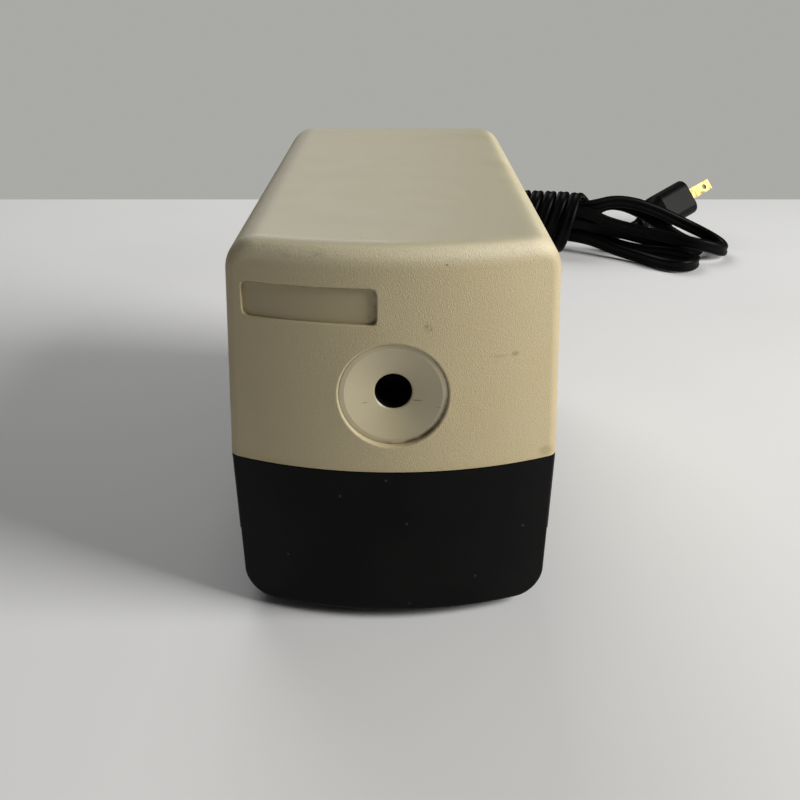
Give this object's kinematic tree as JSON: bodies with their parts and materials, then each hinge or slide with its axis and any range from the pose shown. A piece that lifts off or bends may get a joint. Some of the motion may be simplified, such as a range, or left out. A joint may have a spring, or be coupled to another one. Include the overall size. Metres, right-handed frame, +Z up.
{
  "type": "electric pencil sharpener",
  "caption": "Desktop electric pencil sharpener with a bowed front, a dished pencil hole, a pull-out shavings drawer, a geared motor and cutter head, and a tied mains lead with plug.",
  "frame": {"origin": "middle of the footprint, on the surface that the feet stand on", "axes": "+Z up, +Y from the bowed front with the pencil hole to the back, +X to the right seen from the front"},
  "size_m": [0.2338, 0.4025, 0.0984],
  "materials": {
    "housing_cream": "fine moulded grain",
    "guide_cream": "smooth satin",
    "base_black": "satin",
    "drawer_black": "satin",
    "foot_rubber": "matt",
    "cast_frame": "cast",
    "gear_steel": "machined",
    "cutter_steel": "ground",
    "shaft_steel": "ground",
    "plate_steel": "zinc plated",
    "screw_steel": "zinc plated",
    "nylon": "satin",
    "bush_brass": "plain",
    "lamination": "varnished",
    "bobbin": "plain",
    "winding": "enamelled copper",
    "switch_plastic": "plain",
    "lead_vinyl": "plain",
    "cord_vinyl": "satin",
    "blade_brass": "plain"
  },
  "bodies": {
    "housing": {"upper_housing": "housing_cream", "screw_posts": "housing_cream", "pencil_guide": "guide_cream", "base_pan": "base_black", "rubber_feet": "foot_rubber", "housing_screws": "screw_steel", "cutter_frame": "cast_frame", "ring_gear": "gear_steel", "idler_axle": "shaft_steel", "gear_plate_front": "plate_steel", "gear_plate_rear": "plate_steel", "plate_spacers": "plate_steel", "output_bushes": "bush_brass", "chassis_screws": "screw_steel", "frame_screws": "screw_steel", "stator_stack": "lamination", "coil_bobbin": "bobbin", "field_coil": "winding", "motor_bearings": "bush_brass", "motor_bracket": "plate_steel", "motor_sleeves": "plate_steel", "motor_bolts": "screw_steel", "switch_body": "switch_plastic", "switch_screws": "screw_steel", "inner_leads": "lead_vinyl", "strain_relief": "cord_vinyl", "cord_tail": "cord_vinyl", "cord_hank": "cord_vinyl", "plug_body": "cord_vinyl", "plug_blades": "blade_brass"},
    "drawer": {"shavings_drawer": "drawer_black"},
    "cutter_head": {"cutter_carrier": "cast_frame", "cutter_pins": "shaft_steel", "output_shaft": "shaft_steel", "output_gear": "nylon"},
    "right_cutter": {"cutter_right": "cutter_steel"},
    "left_cutter": {"cutter_left": "cutter_steel"},
    "idler": {"idler_gear": "nylon"},
    "rotor": {"rotor_core": "lamination", "rotor_shaft": "shaft_steel", "motor_pinion": "gear_steel"},
    "lever": {"switch_lever": "plate_steel"},
    "plunger": {"switch_plunger": "nylon"}
  },
  "joints": [
    {"name": "drawer_slide", "type": "slide", "parent": "housing", "child": "drawer", "axis": [0, -1, 0], "range_m": [0, 0.06]},
    {"name": "cutter_head_spin", "type": "hinge", "parent": "housing", "child": "cutter_head", "pos_m": [0, 0, 0.063], "axis": [0, 1, 0], "continuous": true},
    {"name": "right_cutter_spin", "type": "hinge", "parent": "cutter_head", "child": "right_cutter", "pos_m": [0, 0.00629, 0.063], "axis": [-0.165, 0.9863, 0], "continuous": true},
    {"name": "left_cutter_spin", "type": "hinge", "parent": "cutter_head", "child": "left_cutter", "pos_m": [0, 0.00629, 0.063], "axis": [0.165, 0.9863, 0], "continuous": true},
    {"name": "idler_spin", "type": "hinge", "parent": "housing", "child": "idler", "pos_m": [0.01417, 0, 0.04326], "axis": [0, 1, 0], "continuous": true},
    {"name": "rotor_spin", "type": "hinge", "parent": "housing", "child": "rotor", "pos_m": [0, 0, 0.033], "axis": [0, 1, 0], "continuous": true},
    {"name": "lever_tilt", "type": "hinge", "parent": "housing", "child": "lever", "pos_m": [0.0246, -0.0648, 0.0684], "axis": [0, 1, 0], "range_deg": [0, 6], "stiffness_Nm_per_rad": 0.02, "springref_deg": -11.46},
    {"name": "plunger_slide", "type": "slide", "parent": "housing", "child": "plunger", "axis": [0, 0, 1], "range_m": [0, 0.0007]}
  ],
  "couplings": [
    {"joint": "right_cutter_spin", "follows": "cutter_head_spin", "ratio": -3},
    {"joint": "left_cutter_spin", "follows": "cutter_head_spin", "ratio": -3},
    {"joint": "idler_spin", "follows": "cutter_head_spin", "ratio": -3.5},
    {"joint": "rotor_spin", "follows": "cutter_head_spin", "ratio": 14},
    {"joint": "plunger_slide", "follows": "lever_tilt", "m_per_rad": 0.0066}
  ]
}
